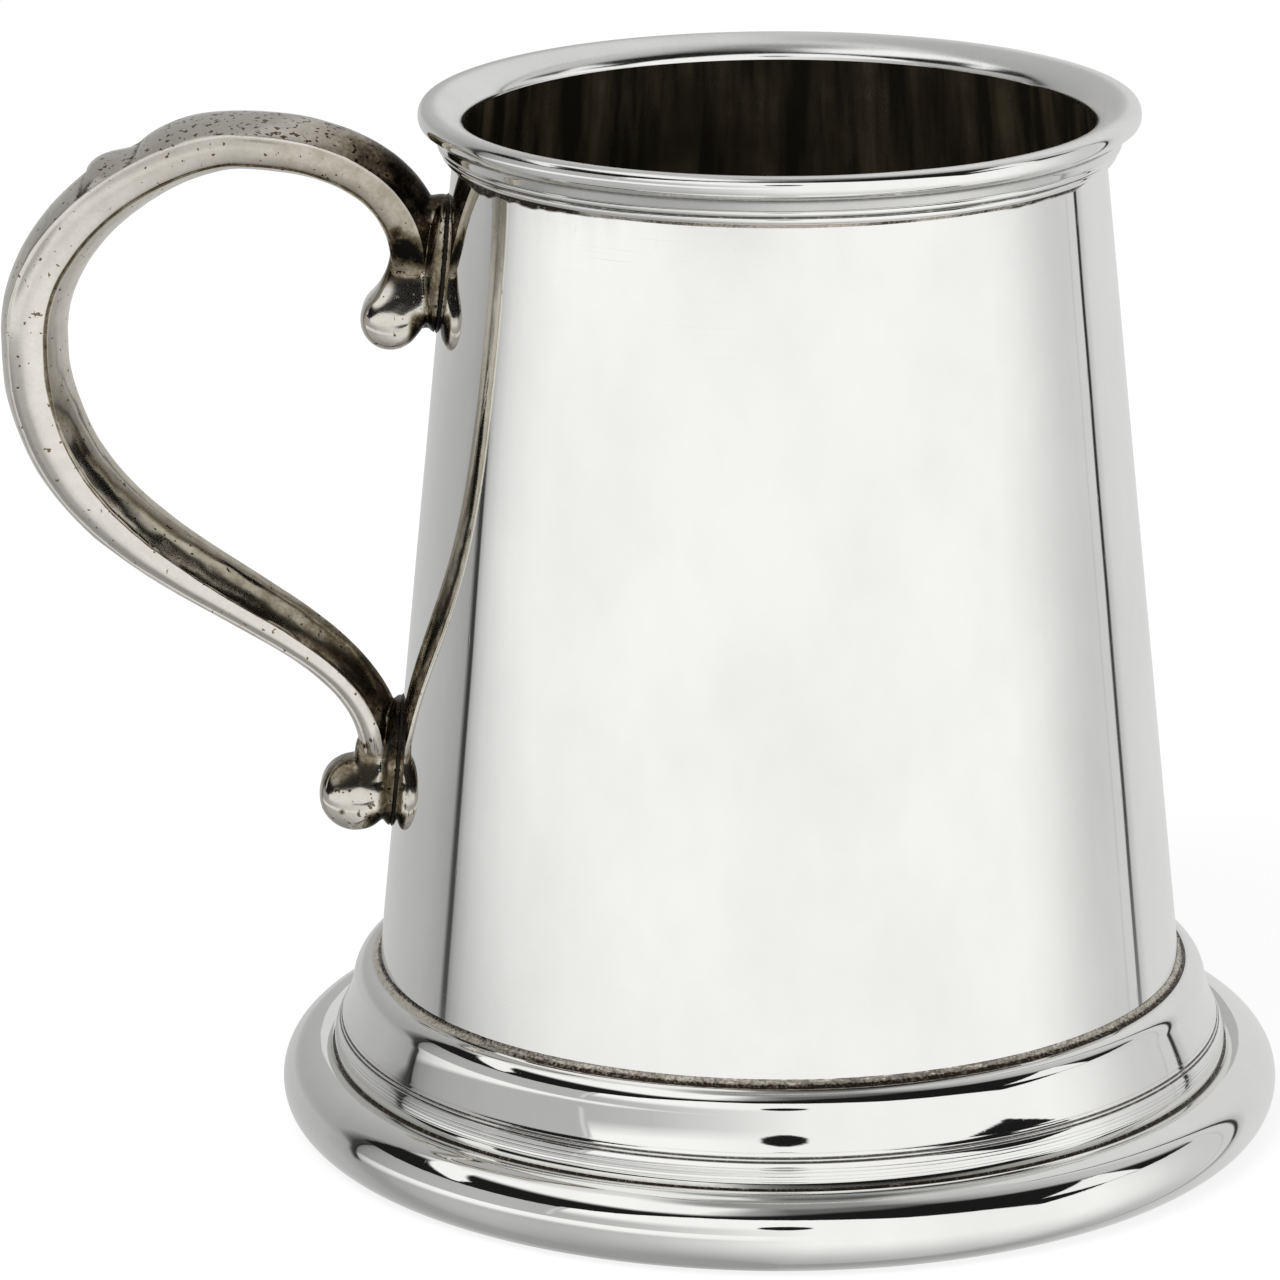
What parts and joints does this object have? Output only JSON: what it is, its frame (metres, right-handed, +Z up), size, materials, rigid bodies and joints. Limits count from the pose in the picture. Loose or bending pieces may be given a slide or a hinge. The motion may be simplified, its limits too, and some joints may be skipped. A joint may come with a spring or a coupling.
{
  "type": "tankard",
  "caption": "Lidless pewter tankard with a tapered drum, rolled lip, stepped foot and a cast scroll handle, for holding and drinking beer or cider.",
  "frame": {"origin": "on the drum's axis, in the plane of the foot ring's flat resting land", "axes": "+Z up along the drum's axis; the handle stands out toward -X"},
  "size_m": [0.1511, 0.1196, 0.123],
  "materials": {
    "polished_pewter": "polished pewter, nearly a mirror, with fine wear",
    "cast_pewter": "cast pewter, satin, with casting pits and brown patina in the hollows",
    "dull_pewter": "unpolished pewter, tarnished",
    "solder": "grainy, oxidised solder"
  },
  "bodies": {
    "root": {"body": "polished_pewter", "lip": "polished_pewter", "collar": "polished_pewter", "foot_ring": "polished_pewter", "floor": "dull_pewter", "handle": "cast_pewter", "rim_solder": "solder", "seam_solder": "solder", "crease_solder": "solder", "floor_solder": "solder", "pad_solder_top": "solder", "pad_solder_low": "solder"}
  },
  "joints": []
}
